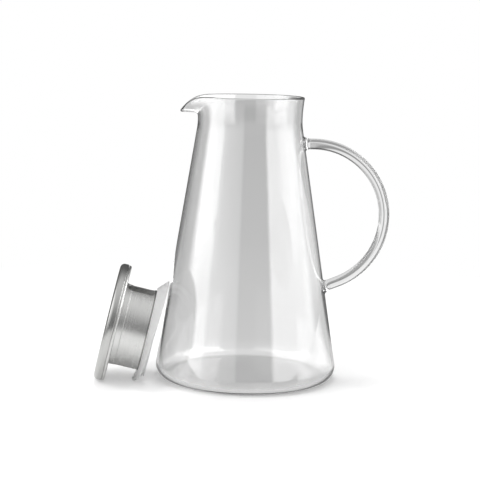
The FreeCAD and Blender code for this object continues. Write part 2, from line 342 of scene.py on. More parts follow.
base_sharp, cone_lean = cone_foot(base_corner, base_radius, 0.0, neck_radius, neck_corner_height)
floor_sharp, _ = cone_foot(floor_corner, base_radius - wall, floor_height, bore_radius, bore_corner_height)
body = rounded_section([
    (0, 0, 0), (base_sharp, 0, base_corner), (neck_radius, neck_corner_height, shoulder_bend),
    (neck_radius, collar_bottom, 0), (bore_radius, collar_bottom, 0),
    (bore_radius, bore_corner_height, shoulder_bend), (floor_sharp, floor_height, floor_corner),
    (0, floor_height, 0)], arc_steps=14)
split = body.index((neck_radius * MM, collar_bottom * MM)) + 1
collar = []
for i in range(1, SIDE_STEPS + 1):
    b0, b1, b2, b3 = cubic(i / SIDE_STEPS)
    height = (b0 + b1) * collar_bottom + b1 * collar_rise
    collar.append(((b0 + b1) * neck_radius * MM, height * MM, b2 + b3, b2, 0, 0))
for i in range(1, RIM_STEPS + 1):
    _, b1, b2, b3 = cubic(i / RIM_STEPS)
    collar.append((0, 0, 1, 0, b1 + b2, b2 + b3))
for i in range(1, SIDE_STEPS):
    b0, b1, b2, b3 = cubic(i / SIDE_STEPS)
    height = (b2 + b3) * collar_bottom + b2 * (collar_rise + wall)
    collar.append(((b2 + b3) * bore_radius * MM, height * MM, b0 + b1, b1, 0, b0 + b1))
jug_rows = [spot + NO_RIM for spot in body[:split]] + collar + [spot + NO_RIM for spot in body[split:]]
print("jug section:", len(jug_rows), "points, the cone leans", round(math.degrees(cone_lean), 2), "degrees")

# %% [markdown]
# The start mesh is the plain round jug. Its vertices keep their angle from the spout and their six
# numbers as attributes, because a node tree can read those for every vertex at once.

# %% Round jug
JUG_TURNS = 360
CARRIED = ("angle", "fixed_r", "fixed_z", "end", "run", "bead", "thick")
carried = []


def round_spot(k, angle):
    """Point of the jug before its spout is pulled; notes what the vertex carries."""
    fixed_r, fixed_z, end, run, bead, thick = jug_rows[k]
    carried.append((angle - math.pi,) + jug_rows[k])
    along = (bead * wall * BEAD_SHARE - run * collar_rise) * MM
    inward = thick * wall * MM
    r = fixed_r + end * rim_radius * MM + along * math.sin(rim_flare) - inward * math.cos(rim_flare)
    z = fixed_z + end * rim_height * MM + along * math.cos(rim_flare) + inward * math.sin(rim_flare)
    return r * math.cos(angle), r * math.sin(angle), z


round_jug = spun_mesh("round_jug", len(jug_rows), JUG_TURNS, round_spot, (0, len(jug_rows) - 1))
for label, values in zip(CARRIED, zip(*carried)):
    round_jug.attributes.new(label, "FLOAT", "POINT").data.foreach_set("value", values)
print("round jug:", len(round_jug.vertices), "vertices that carry", ", ".join(CARRIED))

# %% [markdown]
# The spout is made as at the lamp: the round collar is softened and drawn out to a point. Seen from
# above, the spout's sides run straight along tangents of the rim and meet in a rounded tip. The rim drops
# with the cube of the way along a side, and the lip leans out until it lies flat. Pulling vertices by
# hand would leave dents; the tree says the rule once, for every vertex.

# %% Pull the spout
tree, given = new_tree("pull_spout", "Rim Radius", "Rim Height", "Rim Flare", "Wall", "Collar Rise",
                       "Spout Reach", "Spout Drop", "Tip Turn", "Lip Angle", "Floor Run")
own = {label: add_node(tree, "GeometryNodeInputNamedAttribute", {"Name": label},
                       data_type="FLOAT").outputs["Attribute"] for label in CARRIED}


def work(operation, *values):
    """Works out one number in the tree at hand."""
    return calc(tree, operation, *values)


def plus(a, b):
    """a plus b, in the tree at hand."""
    return work("ADD", a, b)


def minus(a, b):
    """a less b, in the tree at hand."""
    return work("SUBTRACT", a, b)


def times(a, b):
    """a times b, in the tree at hand."""
    return work("MULTIPLY", a, b)


# The way along a side is 0 where the spout leaves the round rim and 1 at its tip.
tip_radius = plus(given["Rim Radius"], given["Spout Reach"])
tip_slope = work("ARCCOSINE", work("DIVIDE", given["Rim Radius"], tip_radius))
away = work("SQRT", plus(work("POWER", own["angle"], 2.0), work("POWER", given["Tip Turn"], 2.0)))
turn = work("MAXIMUM", minus(plus(tip_slope, given["Tip Turn"]), away), 0.0)
along_side = work("DIVIDE", work("TANGENT", turn), work("TANGENT", tip_slope))

# The rim's lean, its run and its end at this angle.
lean = work("MULTIPLY_ADD", minus(given["Lip Angle"], given["Rim Flare"]), work("POWER", along_side, 2.0),
            given["Rim Flare"])
lean_sin = work("SINE", lean)
lean_cos = work("COSINE", lean)
run = work("MULTIPLY_ADD", minus(given["Floor Run"], given["Collar Rise"]), along_side, given["Collar Rise"])
end_r = work("DIVIDE", given["Rim Radius"], work("COSINE", turn))
end_z = minus(given["Rim Height"], times(given["Spout Drop"], work("POWER", along_side, 3.0)))

# Where the vertex goes, by the weights that it carries.
bead = times(own["bead"], times(given["Wall"], BEAD_SHARE))
ahead = minus(bead, times(own["run"], run))
inward = times(own["thick"], given["Wall"])
radius = plus(work("MULTIPLY_ADD", own["end"], end_r, own["fixed_r"]),
              minus(times(ahead, lean_sin), times(inward, lean_cos)))
height = plus(work("MULTIPLY_ADD", own["end"], end_z, own["fixed_z"]),
              plus(times(ahead, lean_cos), times(inward, lean_sin)))
back_r = times(radius, -1.0)
spot = add_node(tree, "ShaderNodeCombineXYZ", {"X": times(back_r, work("COSINE", own["angle"])),
                                               "Y": times(back_r, work("SINE", own["angle"])), "Z": height})
moved = add_node(tree, "GeometryNodeSetPosition", {"Geometry": given["Geometry"], "Position": spot})
close_tree(tree, moved, given["Finish"])

# %% Jug
jug_mesh = run_tree(tree, round_jug, {
    "Rim Radius": rim_radius * MM, "Rim Height": rim_height * MM, "Rim Flare": rim_flare,
    "Wall": wall * MM, "Collar Rise": collar_rise * MM, "Spout Reach": 12.0 * MM, "Spout Drop": 12.5 * MM,
    "Tip Turn": math.radians(7.0), "Lip Angle": math.radians(89.0), "Floor Run": 12.4 * MM,
    "Finish": clear_glass})
GLASS_CREASE = 60
glass_jug = as_piece("jug_glass", jug_mesh, clear_glass, GLASS_CREASE)

# %% [markdown]
# ## The handle
# The handle is a solid rod, bent hot round a former and melted to the wall at both ends. Its centre line
# is a level leg, a wide bend and a sloping leg. The tree draws that line and sweeps a circle along it,
# which is how the rod is made; a curve with a bevel would do too, but the tree keeps every size as a
# named input.

# %% Handle sizes
rod_radius = 4.4
bend_radius = 59.3
lower_slope = math.radians(22.0)
lower_leg = 12.0
pad_length = 4.8
pad_radius = 6.7
melt = 0.12
handle_drop = 38.0


def cone_radius(height):
    """Outer radius of the jug's cone at a height."""
    return base_sharp - height * math.tan(cone_lean)


handle_top = jug_height - handle_drop
bend_z = handle_top - bend_radius
lower_root_z = bend_z - bend_radius * math.cos(lower_slope) - lower_leg * math.sin(lower_slope)
upper_root = Vector((cone_radius(handle_top), 0, handle_top))
lower_root = Vector((cone_radius(lower_root_z), 0, lower_root_z))
bend_x = lower_root.x + lower_leg * math.cos(lower_slope) - bend_radius * math.sin(lower_slope)
upper_leg = bend_x - upper_root.x
print("handle: bend's middle at", round(bend_x, 1), round(bend_z, 1), "mm, upper leg", round(upper_leg, 1))

# %% Bend the handle
BEND_STEPS = 200
ROD_SIDES = 112
tree, given = new_tree("bend_handle", "Rod Radius", "Bend Radius", "Lower Slope", "Upper Leg", "Lower Leg")
arc = add_node(tree, "GeometryNodeCurveArc", {
    "Resolution": BEND_STEPS, "Radius": given["Bend Radius"], "Start Angle": math.pi / 2,
    "Sweep Angle": minus(given["Lower Slope"], math.pi)}, mode="RADIUS")
slope_sin = work("SINE", given["Lower Slope"])
slope_cos = work("COSINE", given["Lower Slope"])
foot_x = times(given["Bend Radius"], slope_sin)
foot_y = times(times(given["Bend Radius"], slope_cos), -1.0)
tail_x = minus(foot_x, times(given["Lower Leg"], slope_cos))
tail_y = minus(foot_y, times(given["Lower Leg"], slope_sin))
root_x = times(given["Upper Leg"], -1.0)
legs = []
for leg_ends in (((root_x, given["Bend Radius"]), (0.0, given["Bend Radius"])),
                 ((foot_x, foot_y), (tail_x, tail_y))):
    first, last = [add_node(tree, "ShaderNodeCombineXYZ", {"X": x, "Y": y}) for x, y in leg_ends]
    legs.append(add_node(tree, "GeometryNodeCurvePrimitiveLine", {"Start": first, "End": last}))
wire = add_node(tree, "GeometryNodeCurveToMesh", {"Curve": joined(tree, legs[0], arc, legs[1])})
welded = add_node(tree, "GeometryNodeMergeByDistance", {"Geometry": wire, "Distance": 1e-5})
line = add_node(tree, "GeometryNodeMeshToCurve", {"Mesh": welded})
ring = add_node(tree, "GeometryNodeCurvePrimitiveCircle", {"Resolution": ROD_SIDES,
                                                           "Radius": given["Rod Radius"]})
rod = add_node(tree, "GeometryNodeCurveToMesh", {"Curve": line, "Profile Curve": ring, "Fill Caps": True})
close_tree(tree, rod, given["Finish"])

# %% Handle
handle_mesh = run_tree(tree, bpy.data.meshes.new("handle_start"), {
    "Rod Radius": rod_radius * MM, "Bend Radius": bend_radius * MM, "Lower Slope": lower_slope,
    "Upper Leg": (upper_leg - pad_length + melt) * MM, "Lower Leg": (lower_leg - pad_length + melt) * MM,
    "Finish": clear_glass})
upright = Matrix.Rotation(math.pi / 2, 4, "X")
handle_mesh.transform(Matrix.Translation((bend_x * MM, 0, bend_z * MM)) @ upright)
glass_handle = as_piece("handle_rod", handle_mesh, clear_glass, GLASS_CREASE)

# %% [markdown]
# ## The weld pads
# Where the soft rod was pressed to the wall, the glass spread into a small skirt. A pad is spun about the
# leg's own line, and its back is laid on the cone by sliding each of its points along that line; a
# boolean would give ragged edges there. Rod, pad and wall overlap by a tenth of a millimetre, so light
# passes from one to the next as through one melted piece.

# %% Weld pads
PAD_TURNS = 56
FLARE_STEPS = 12
BACK_SHARES = (0.75, 0.5, 0.25, 0.0)
SLIDES = 12


def pad_mesh(name, root, out):
    """Flared pad along a leg's direction out, from the wall at root to the rod's end."""
    flare = pad_radius - rod_radius
    rows = [(0.0, pad_length)]
    for i in range(FLARE_STEPS + 1):
        turn = math.pi / 2 * i / FLARE_STEPS
        rows.append((rod_radius + flare * (1 - math.cos(turn)), pad_length * (1 - math.sin(turn))))
    rows += [(pad_radius * share, None) for share in BACK_SHARES]
    side = Vector((0, 1, 0))
    up = out.cross(side)

    def spot(k, angle):
        r, along = rows[k]
        off_line = root + (side * math.cos(angle) + up * math.sin(angle)) * r
        wall_along = 0.0
        for _ in range(SLIDES):
            point = off_line + out * wall_along
            wall_along += cone_radius(point.z) - math.hypot(point.x, point.y)
        wall_along -= melt
        if along is None:
            along = wall_along
        elif r > rod_radius:
            blend = 1 - along / pad_length
            along += wall_along * blend ** 2
        return (off_line + out * along) * MM

    return spun_mesh(name, len(rows), PAD_TURNS, spot, (0, len(rows) - 1))


upper_out = Vector((1, 0, 0))
lower_out = Vector((math.cos(lower_slope), 0, math.sin(lower_slope)))
upper_pad = as_piece("upper_weld", pad_mesh("upper_weld", upper_root, upper_out), clear_glass, GLASS_CREASE)
lower_pad = as_piece("lower_weld", pad_mesh("lower_weld", lower_root, lower_out), clear_glass, GLASS_CREASE)

# %% [markdown]
# ## Where the lid lies
# The lid turns in its seal about its own axis, and that joint is in the record: its point is the middle
# of the cap's outer face and its direction runs to the jug. Every lid piece is spun upright about Z, cap
# at the bottom, and is then laid down by this matrix. Local X is the side that lies uppermost, the side
# of the pour window.

# %% Lid placement
lid_joint = next(j for j in frame["record"]["behaviour"]["joints"] if j["name"] == "lid_turn")
lid_ahead = Vector(lid_joint["axis"]).normalized()
lid_side = Vector((lid_ahead.y, -lid_ahead.x, 0)).normalized()
lid_top = lid_side.cross(lid_ahead)
lid_across = lid_ahead.cross(lid_top)
lid_turned = Matrix((lid_top, lid_across, lid_ahead)).transposed().to_4x4()
lid_lying = Matrix.Translation(lid_joint["pos_m"]) @ lid_turned
print("lid leans", round(math.degrees(math.asin(-lid_ahead.z)), 2), "degrees")

# %% [markdown]
# ## Brushed steel
# The cap and the sleeve were brushed while they spun, so fine lines run round the axis. Such lines blur a
# reflection along the axis and leave it sharp round the curve, which is why the sleeve shows clear
# lengthwise stripes. The lines follow the piece, so each steel mesh carries its own map: an angle that
# closes on itself for the noise, and a UV map whose direction tells the shader which way the brush went.
# Faces that look inwards were never brushed and are duller, and a dark ring of painted shade marks the
# crevice where the sleeve goes into the seal.

# %% Brush map
FACES_IN = -0.3
V_PER_METRE = 10


def map_brushing(mesh):
    """Adds to an upright lid mesh (cos, sin, way across the lines), a UV round the axis and inward faces."""
    across = [math.hypot(v.co.x, v.co.y) + v.co.z for v in mesh.vertices]
    angle = [math.atan2(v.co.y, v.co.x) for v in mesh.vertices]
    lines = mesh.attributes.new("brush", "FLOAT_VECTOR", "POINT")
    for v in mesh.vertices:
        lines.data[v.index].vector = (math.cos(angle[v.index]), math.sin(angle[v.index]), across[v.index])
    inside = mesh.attributes.new("inside", "FLOAT", "FACE")
    for face in mesh.polygons:
        outward = face.normal.xy.dot(face.center.xy)
        inside.data[face.index].value = float(outward < FACES_IN * face.center.xy.length)
    around = mesh.uv_layers.new(name="around")
    for face in mesh.polygons:
        first = angle[face.vertices[0]]
        for loop in face.loop_indices:
            k = mesh.loops[loop].vertex_index
            u = first + (angle[k] - first + math.pi) % (2 * math.pi) - math.pi
            around.data[loop].uv = (u / (2 * math.pi), across[k] * V_PER_METRE)


# %% Steel finish
sleeve_radius = 33.5
hub_top = 34.0
seam = (sleeve_radius + hub_top) * MM
seam_fade = 1.2 * MM
seam_edge = 0.3 * MM
SEAM_SHADE_TONE = (0.16, 0.16, 0.155, 1)
LINES_PER_METRE = 5200
BROAD_PER_METRE = 900
LINE_SHADE = 0.86
INSIDE_DULLER = 0.45


def steel_finish(name, colour, roughness, line_depth):
    """Steel brushed round the axis, with fine lines in colour, roughness and height, and a ring of painted
    shade where the sleeve goes into the seal.
    """
    finish, tree, shader = new_finish(name, {"Metallic": 1.0, "Anisotropic": 0.85})
    lines = add_node(tree, "ShaderNodeAttribute", attribute_name="brush").outputs["Vector"]
    place = tree.nodes.new("ShaderNodeTexCoord").outputs["Object"]
    fine = stretched_noise(tree, lines, (1.1, 1.1, LINES_PER_METRE), 3.0)
    broad = stretched_noise(tree, lines, (1.6, 1.6, BROAD_PER_METRE), 2.0)
    smudge = stretched_noise(tree, place, (70, 70, 70), 3.0)

    both = calc(tree, "MULTIPLY_ADD", fine, 0.6, calc(tree, "MULTIPLY", broad, 0.4))
    tone = add_node(tree, "ShaderNodeMix", {"A": [c * LINE_SHADE for c in colour] + [1],
                                            "B": list(colour) + [1],
                                            "Factor": between(tree, both, 0, 1)}, data_type="RGBA")
    # Painted shade: the steel's colour turns dark in a narrow ring where the sleeve goes into the seal,
    # standing in for the crevice's shadow.
    way = add_node(tree, "ShaderNodeSeparateXYZ", {0: lines}).outputs["Z"]
    rising = add_node(tree, "ShaderNodeMapRange", {"Value": way, "From Min": seam - seam_fade,
                                                   "From Max": seam - seam_edge})
    seam_shade = calc(tree, "MULTIPLY", rising, calc(tree, "LESS_THAN", way, seam + seam_edge))
    seam_shaded = add_node(tree, "ShaderNodeMix", {"A": tone.outputs["Result"], "B": SEAM_SHADE_TONE, "Factor": seam_shade},
                       data_type="RGBA")
    tree.links.new(seam_shaded.outputs["Result"], shader.inputs["Base Color"])

    worn = calc(tree, "MULTIPLY_ADD", smudge, 0.5, calc(tree, "MULTIPLY", fine, 0.5))
    worn = between(tree, worn, roughness - 0.05, roughness + 0.06)
    inside = add_node(tree, "ShaderNodeAttribute", attribute_name="inside").outputs["Fac"]
    tree.links.new(calc(tree, "MULTIPLY_ADD", inside, INSIDE_DULLER, worn), shader.inputs["Roughness"])
    bumped(tree, shader, fine, line_depth, strength=0.5)
    tangent = add_node(tree, "ShaderNodeTangent", direction_type="UV_MAP", uv_map="around")
    tree.links.new(tangent.outputs["Tangent"], shader.inputs["Tangent"])
    return finish


brushed_steel = steel_finish("brushed_steel", (0.70, 0.70, 0.69), roughness=0.25, line_depth=0.012 * MM)
# The cap takes a darker copy of the same brushed steel: painted shade that makes its reflections read
# darker.
shaded_cap_steel = steel_finish("shaded_cap_steel", (0.54, 0.54, 0.53), roughness=0.20, line_depth=0.010 * MM)
print("brushed steel: lines every", round(1000 / LINES_PER_METRE, 2), "mm")

# %% [markdown]
# ## The cap and its underside plate
# The cap is a shallow stamped shell: flat face, rounded edge, short band, and a lower edge rolled in. A
# plate closes it from below; its flange sits on the rolled edge inside, and its rounded lip, nearly as
# wide as the cap, shows below a fine groove. Both are spun from the sections that the CAD model uses.

# %% Cap and plate
LID_TURNS = 256
cap_radius = 48.8
cap_fillet = 3.6
band_height = 6.9
cap_sheet = 0.9
cap_inside = cap_radius - cap_sheet
crimp_radius = 46.5
crimp_top = band_height - cap_sheet
flange_top = 5.0
flange_bottom = 6.0
flange_radius = 47.8
throat_radius = 46.4
lip_top = 7.2
lip_radius = 48.3
dish_radius = 45.4
dish_top = 8.3
plate_bottom = 9.3


def lid_piece(name, mesh, finish):
    """Lays an upright steel mesh down beside the jug and makes it a piece."""
    map_brushing(mesh)
    mesh.transform(lid_lying)
    return as_piece(name, mesh, finish)


cap_mesh = spun_section("cap", [
    (0, 0, 0), (cap_radius, 0, cap_fillet), (cap_radius, band_height, 0.8),
    (crimp_radius, band_height, 0.15), (crimp_radius, crimp_top, 0), (cap_inside, crimp_top, 0),
    (cap_inside, cap_sheet, cap_fillet - cap_sheet), (0, cap_sheet, 0)], LID_TURNS, arc_steps=12)
lid_cap = lid_piece("cap_shell", cap_mesh, shaded_cap_steel)
plate_mesh = spun_section("plate", [
    (0, dish_top, 0), (dish_radius, dish_top, 0), (dish_radius, flange_top, 0),
    (flange_radius, flange_top, 0), (flange_radius, flange_bottom, 0), (throat_radius, flange_bottom, 0),
    (throat_radius, lip_top, 0), (lip_radius, lip_top, 0.3), (lip_radius, plate_bottom, 1.5),
    (0, plate_bottom, 0)], LID_TURNS, arc_steps=10)
lid_plate = lid_piece("underside_plate", plate_mesh, brushed_steel)

# %% [markdown]
# ## The strainer sleeve
# Below the plate hangs a thin tube with a stepped foot and a rolled bead at its end. One side has a large
# round-cornered pour window, the opposite side a field of drilled holes that holds back leaves and ice.
# The tree lays a grid of drills round the tube, makes the window's cutter from a filleted rectangle, and
# takes both out of the spun tube with one boolean, so the rims of the holes are as thick as the sheet.

# %% Sleeve before drilling
SLEEVE_TURNS = 207
sleeve_sheet = 0.8
sleeve_bore = sleeve_radius - sleeve_sheet
sleeve_end = 37.9
foot_radius = 33.9
foot_end = 13.7
step_end = 14.1
bead_start = 36.9
bead_radius = 34.9
sleeve_start = spun_section("sleeve_start", [
    (sleeve_bore, plate_bottom, 0), (foot_radius, plate_bottom, 0), (foot_radius, foot_end, 0.2),
    (sleeve_radius, step_end, 0.2), (sleeve_radius, bead_start, 0.3), (bead_radius, bead_start, 0.3),
    (bead_radius, sleeve_end, 0.3), (sleeve_bore, sleeve_end, 0.2)], SLEEVE_TURNS, arc_steps=4)
print("sleeve before drilling:", len(sleeve_start.polygons), "faces")

# %% Drills round the tube
HOLE_SIDES = 20
drill_length = 8.0
tree, given = new_tree("drill_strainer", "Sleeve Radius", "Hole Diameter", "Hole Pitch", "Number Round",
                       "Number Along", "Field Middle", "Window Width", "Window Length", "Window Middle",
                       "Window Corner")
grid = add_node(tree, "GeometryNodeMeshGrid", {
    "Size X": times(minus(given["Number Round"], 1.0), given["Hole Pitch"]),
    "Size Y": times(minus(given["Number Along"], 1.0), given["Hole Pitch"]),
    "Vertices X": given["Number Round"], "Vertices Y": given["Number Along"]})
flat = add_node(tree, "ShaderNodeSeparateXYZ", {0: tree.nodes.new("GeometryNodeInputPosition")})
turn = plus(work("DIVIDE", flat.outputs["X"], given["Sleeve Radius"]), math.pi)
out_x = work("COSINE", turn)
out_y = work("SINE", turn)
out = add_node(tree, "ShaderNodeCombineXYZ", {"X": out_x, "Y": out_y})
spot = add_node(tree, "ShaderNodeCombineXYZ", {
    "X": times(out_x, given["Sleeve Radius"]), "Y": times(out_y, given["Sleeve Radius"]),
    "Z": plus(flat.outputs["Y"], given["Field Middle"])})
noted = add_node(tree, "GeometryNodeCaptureAttribute", {"Geometry": grid})
noted.capture_items.new("VECTOR", "Out")
tree.links.new(out.outputs[0], noted.inputs["Out"])
wrapped = add_node(tree, "GeometryNodeSetPosition", {"Geometry": noted, "Position": spot})
drill = add_node(tree, "GeometryNodeMeshCylinder", {
    "Vertices": HOLE_SIDES, "Depth": drill_length * MM, "Radius": times(given["Hole Diameter"], 0.5)})
facing = add_node(tree, "FunctionNodeAlignRotationToVector", {"Vector": noted.outputs["Out"]}, axis="Z")
drills = add_node(tree, "GeometryNodeInstanceOnPoints", {"Points": wrapped, "Instance": drill,
                                                         "Rotation": facing})
drill_set = add_node(tree, "GeometryNodeRealizeInstances", {"Geometry": drills})
print("drill:", HOLE_SIDES, "sides,", drill_length, "mm long")

# %% Window cutter
CORNER_STEPS = 8
window_line = add_node(tree, "GeometryNodeCurvePrimitiveQuadrilateral", {"Width": given["Window Length"],
                                                                         "Height": given["Window Width"]})
rounded = add_node(tree, "GeometryNodeFilletCurve", {"Curve": window_line, "Count": CORNER_STEPS,
                                                     "Radius": given["Window Corner"]}, mode="POLY")
sheet = add_node(tree, "GeometryNodeFillCurve", {"Curve": rounded}, mode="NGONS")
block = add_node(tree, "GeometryNodeExtrudeMesh", {"Mesh": sheet, "Offset Scale": given["Sleeve Radius"]},
                 mode="FACES")
under = add_node(tree, "GeometryNodeFlipFaces", {"Mesh": sheet})
cutter = add_node(tree, "GeometryNodeMergeByDistance", {"Geometry": joined(tree, block, under),
                                                        "Distance": 1e-6})
window_spot = add_node(tree, "ShaderNodeCombineXYZ", {"X": times(given["Sleeve Radius"], 0.5),
                                                      "Z": given["Window Middle"]})
placed = add_node(tree, "GeometryNodeTransform", {"Geometry": cutter, "Rotation": (0, math.pi / 2, 0),
                                                  "Translation": window_spot})
print("window cutter:", CORNER_STEPS, "steps to a corner")

# %% [markdown]
# The boolean's manifold solver is chosen because it leaves a closed skin; the quick default leaves open
# edges at the holes. Points that it sets almost on top of each other are merged afterwards.

# %% Drill the strainer
cut = add_node(tree, "GeometryNodeMeshBoolean", {"Mesh 1": given["Geometry"]}, operation="DIFFERENCE",
               solver="MANIFOLD")
for tool in (drill_set, placed):
    tree.links.new(tool.outputs[0], cut.inputs["Mesh 2"])
clean = add_node(tree, "GeometryNodeMergeByDistance", {"Geometry": cut, "Distance": 2e-6})
close_tree(tree, clean, given["Finish"])

sleeve_mesh = run_tree(tree, sleeve_start, {
    "Sleeve Radius": sleeve_radius * MM, "Hole Diameter": 2.2 * MM, "Hole Pitch": 4.0 * MM,
    "Number Round": 7, "Number Along": 5, "Field Middle": 22.1 * MM, "Window Width": 24.0 * MM,
    "Window Length": 22.3 * MM, "Window Middle": 21.45 * MM, "Window Corner": 3.0 * MM,
    "Finish": brushed_steel})
strainer = lid_piece("strainer_sleeve_steel", sleeve_mesh, brushed_steel)

# %% [markdown]
# ## Clear silicone
# The seal is cast in clear silicone: it lets light through, but scatters it, so it looks milky and nearly
# white. Blurred transmission alone would look like ground glass, so most of the look is subsurface
# scattering over a few millimetres, with a quarter of blurred transmission. A faint cloud in the
# roughness and a fine bump give it its satin skin.

# %% Silicone finish
clear_silicone, tree, shader = new_finish("clear_silicone", {
    "Base Color": (0.985, 0.985, 0.98, 1.0), "Transmission Weight": 0.25, "Subsurface Weight": 1.0,
    "Subsurface Radius": (0.004, 0.004, 0.004), "Subsurface Scale": 1.0, "IOR": 1.41})
place = tree.nodes.new("ShaderNodeTexCoord").outputs["Object"]
cloud = stretched_noise(tree, place, stretch=(120, 120, 120), detail=3.0)
tree.links.new(between(tree, cloud, 0.31, 0.41), shader.inputs["Roughness"])
skin = stretched_noise(tree, place, stretch=(1500, 1500, 1500), detail=2.0)
bumped(tree, shader, skin, distance=0.02 * MM, strength=0.3)
print("clear silicone: index", round(shader.inputs["IOR"].default_value, 2))

# %% [markdown]
# ## The seal
# A hub grips the sleeve's bead in a groove, and one thin fin flares out from it to wipe the neck. As the
# lid lies, its weight leans the fin and folds it back where it meets the table, so the section is not the
# same all the way round. It is built for each angle from the fin's own rule and joined ring by ring into
# one closed skin.

# %% Seal section
fin_radius = 43.1
fin_root_radius = 35.7
fin_thick = 1.4
fin_rise = 7.3
fin_lean = 5.6
fin_fold = 4.6
fold_in = 0.4
FOLD_SHARPNESS = 12
hub_end = 39.9
hub_top_radius = 36.5
hub_end_radius = 37.7
play = 0.08


def fin_edge(angle):
    """Radius and height of the fin's free edge at an angle from the side that lies uppermost."""
    low = (1 - math.cos(angle)) / 2
    fold = low ** FOLD_SHARPNESS
    return fin_radius - fold_in * fold, hub_top + fin_rise - fin_lean * low - fin_fold * fold


def seal_section(angle):
    """Closed outline of the seal at an angle: bore, fin, hub and the groove for the bead."""
    edge_r, edge_z = fin_edge(angle)
    root = Vector((fin_root_radius, hub_top + fin_thick))
    fin = Vector((edge_r, edge_z + fin_thick)) - root
    hub = Vector((hub_end_radius - hub_top_radius, hub_end - hub_top))
    gap = Vector((hub_top_radius, hub_top)) - root
    share = (gap.x * hub.y - gap.y * hub.x) / (fin.x * hub.y - fin.y * hub.x)
    crotch = root + fin * share
    return rounded_section([
        (sleeve_radius + play, hub_top, 0.2), (fin_root_radius, hub_top, 0.4), (edge_r, edge_z, 0.3),
        (edge_r, edge_z + fin_thick, 0.3), (crotch.x, crotch.y, 0.4), (hub_end_radius, hub_end, 0.6),
        (sleeve_radius, hub_end, 0.3), (sleeve_radius, sleeve_end + play, 0),
        (bead_radius + play, sleeve_end + play, 0), (bead_radius + play, bead_start - play, 0),
        (sleeve_radius + play, bead_start - play, 0)], arc_steps=5)


print("seal: fin's edge", [round(v, 1) for v in fin_edge(0.0)], "above,",
      [round(v, 1) for v in fin_edge(math.pi)], "mm at the table")

# %% Seal
SEAL_TURNS = 192
SEAL_CREASE = 50
seal_outlines = {}


def seal_spot(k, angle):
    """Point of the seal's skin on the upright lid."""
    if angle not in seal_outlines:
        seal_outlines[angle] = seal_section(angle)
    r, z = seal_outlines[angle][k]
    return r * math.cos(angle), r * math.sin(angle), z


seal_mesh = spun_mesh("seal", len(seal_section(0.0)), SEAL_TURNS, seal_spot)
seal_mesh.transform(lid_lying)
seal = as_piece("seal_silicone", seal_mesh, clear_silicone, SEAL_CREASE)

# %% [markdown]
# ## Air, table and lamps
# A plain catalogue set: a white table in white air, one main soft box above and two weak ones in front.
# Clear glass is drawn by what is not white, and a photographer hangs grey and bright sheets round it for
# that. Here they are not objects, which would light the table and stand in the way from other sides: the
# Light Path node tells the kinds of rays apart, and air and table show each kind its own level. A level
# that changes round the object is a ramp over the compass, in degrees from the camera's side and positive
# to the right.

# %% Ramps and kinds of rays
# Depths are whole numbers, so each limit lies half way between two of them.
THIRD_BOUNCE = 2.5
ONE_THIN_PIECE = 2.5
FIRST_SURFACE = 0.5
FOURTH_SURFACE = 3.5
WHITE = (1, 1, 1, 1)


def ramp(tree, value, stops):
    """Level that follows straight lines between (place, level) stops."""
    start = stops[0][0]
    end = stops[-1][0]
    top = max(level for _, level in stops)
    span = add_node(tree, "ShaderNodeMapRange", {"Value": value, "From Min": start, "From Max": end})
    made = add_node(tree, "ShaderNodeValToRGB", {"Fac": span})
    keys = made.color_ramp.elements
    keys.remove(keys[1])
    for k, (place, level) in enumerate(stops):
        share = (place - start) / (end - start)
        key = keys[0] if k == 0 else keys.new(share)
        key.position = share
        key.color = (level / top, level / top, level / top, 1)
    return calc(tree, "MULTIPLY", made, top)


def mixed(tree, share, low, high):
    """Value between low and high, or a shader if these are shaders."""
    if isinstance(low, bpy.types.NodeSocket) and low.type == "SHADER":
        return add_node(tree, "ShaderNodeMixShader", {0: share, 1: low, 2: high}).outputs[0]
    blend = add_node(tree, "ShaderNodeMix", {"Factor": share, "A": low, "B": high}, data_type="FLOAT")
    return blend.outputs["Result"]


def kinds_of_rays(tree):
    """Light Path's outputs by name, with a share of 0 or 1 for each further kind of ray."""
    rays = dict(tree.nodes.new("ShaderNodeLightPath").outputs.items())
    rays["Blurred"] = calc(tree, "SUBTRACT", 1.0, rays["Is Singular Ray"])
    rays["Mirrored"] = calc(tree, "MINIMUM", rays["Glossy Depth"], 1.0)
    rays["Guided"] = calc(tree, "GREATER_THAN", rays["Glossy Depth"], THIRD_BOUNCE)
    rays["Thin"] = calc(tree, "LESS_THAN", rays["Transmission Depth"], ONE_THIN_PIECE)
    return rays


def compass_of(tree, way):
    """Degrees round the object of separated X, Y, Z."""
    turn = calc(tree, "ARCTAN2", way.outputs["X"], calc(tree, "MULTIPLY", way.outputs["Y"], -1.0))
    return calc(tree, "MULTIPLY", turn, 180 / math.pi)


# %% [markdown]
# A mirrored ray has bounced off a glossy surface on its way, inside the glass or out. It meets a dim room
# with upright bright panels in it and a pale ceiling that fades towards the back. Steel blurs its rays
# and meets the same panels, but weaker. A ray that bounced three times is guided along inside the glass
# and meets plain grey.

